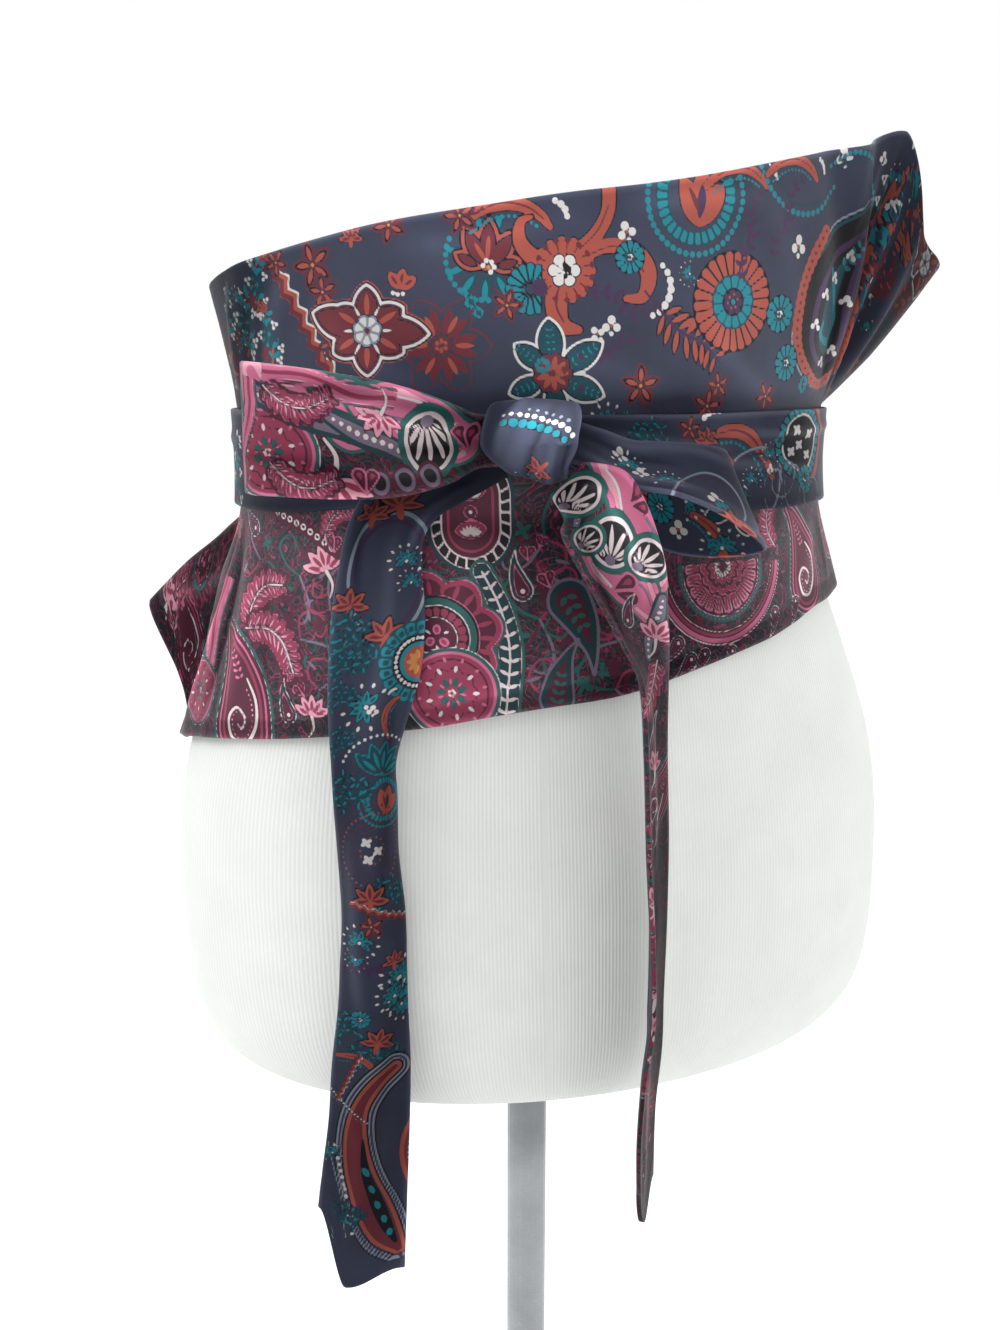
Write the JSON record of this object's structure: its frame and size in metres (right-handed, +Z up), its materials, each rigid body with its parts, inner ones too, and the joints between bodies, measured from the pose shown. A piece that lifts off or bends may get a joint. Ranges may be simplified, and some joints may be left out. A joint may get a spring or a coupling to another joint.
{
  "type": "obi sash on a dress form",
  "caption": "Reversible satin wrap sash tied in a front bow, worn on a limbless cloth-covered dress form on a pole and round base.",
  "frame": {"origin": "middle of the stand's underside, on the floor", "axes": "+Z up, -Y out of the sash's front where the bow is, +X to the wearer's left"},
  "size_m": [0.3924, 0.2846, 0.8014],
  "materials": {
    "form_cover": "matt ribbed jersey",
    "stand_steel": "brushed",
    "satin_floral": "satin, floral figure",
    "satin_paisley": "satin, paisley figure"
  },
  "bodies": {
    "root": {"form_torso": "form_cover", "stand_pole": "stand_steel", "stand_base": "stand_steel", "panel_upper": "satin_floral", "panel_lower": "satin_paisley", "tie_right_round_back": "satin_floral", "tie_left_round_back": "satin_floral", "knot_wrap": "satin_floral", "bow_loop_left": "satin_paisley", "bow_loop_right": "satin_floral", "tail_left": "satin_floral", "tail_right": "satin_paisley"}
  },
  "joints": []
}
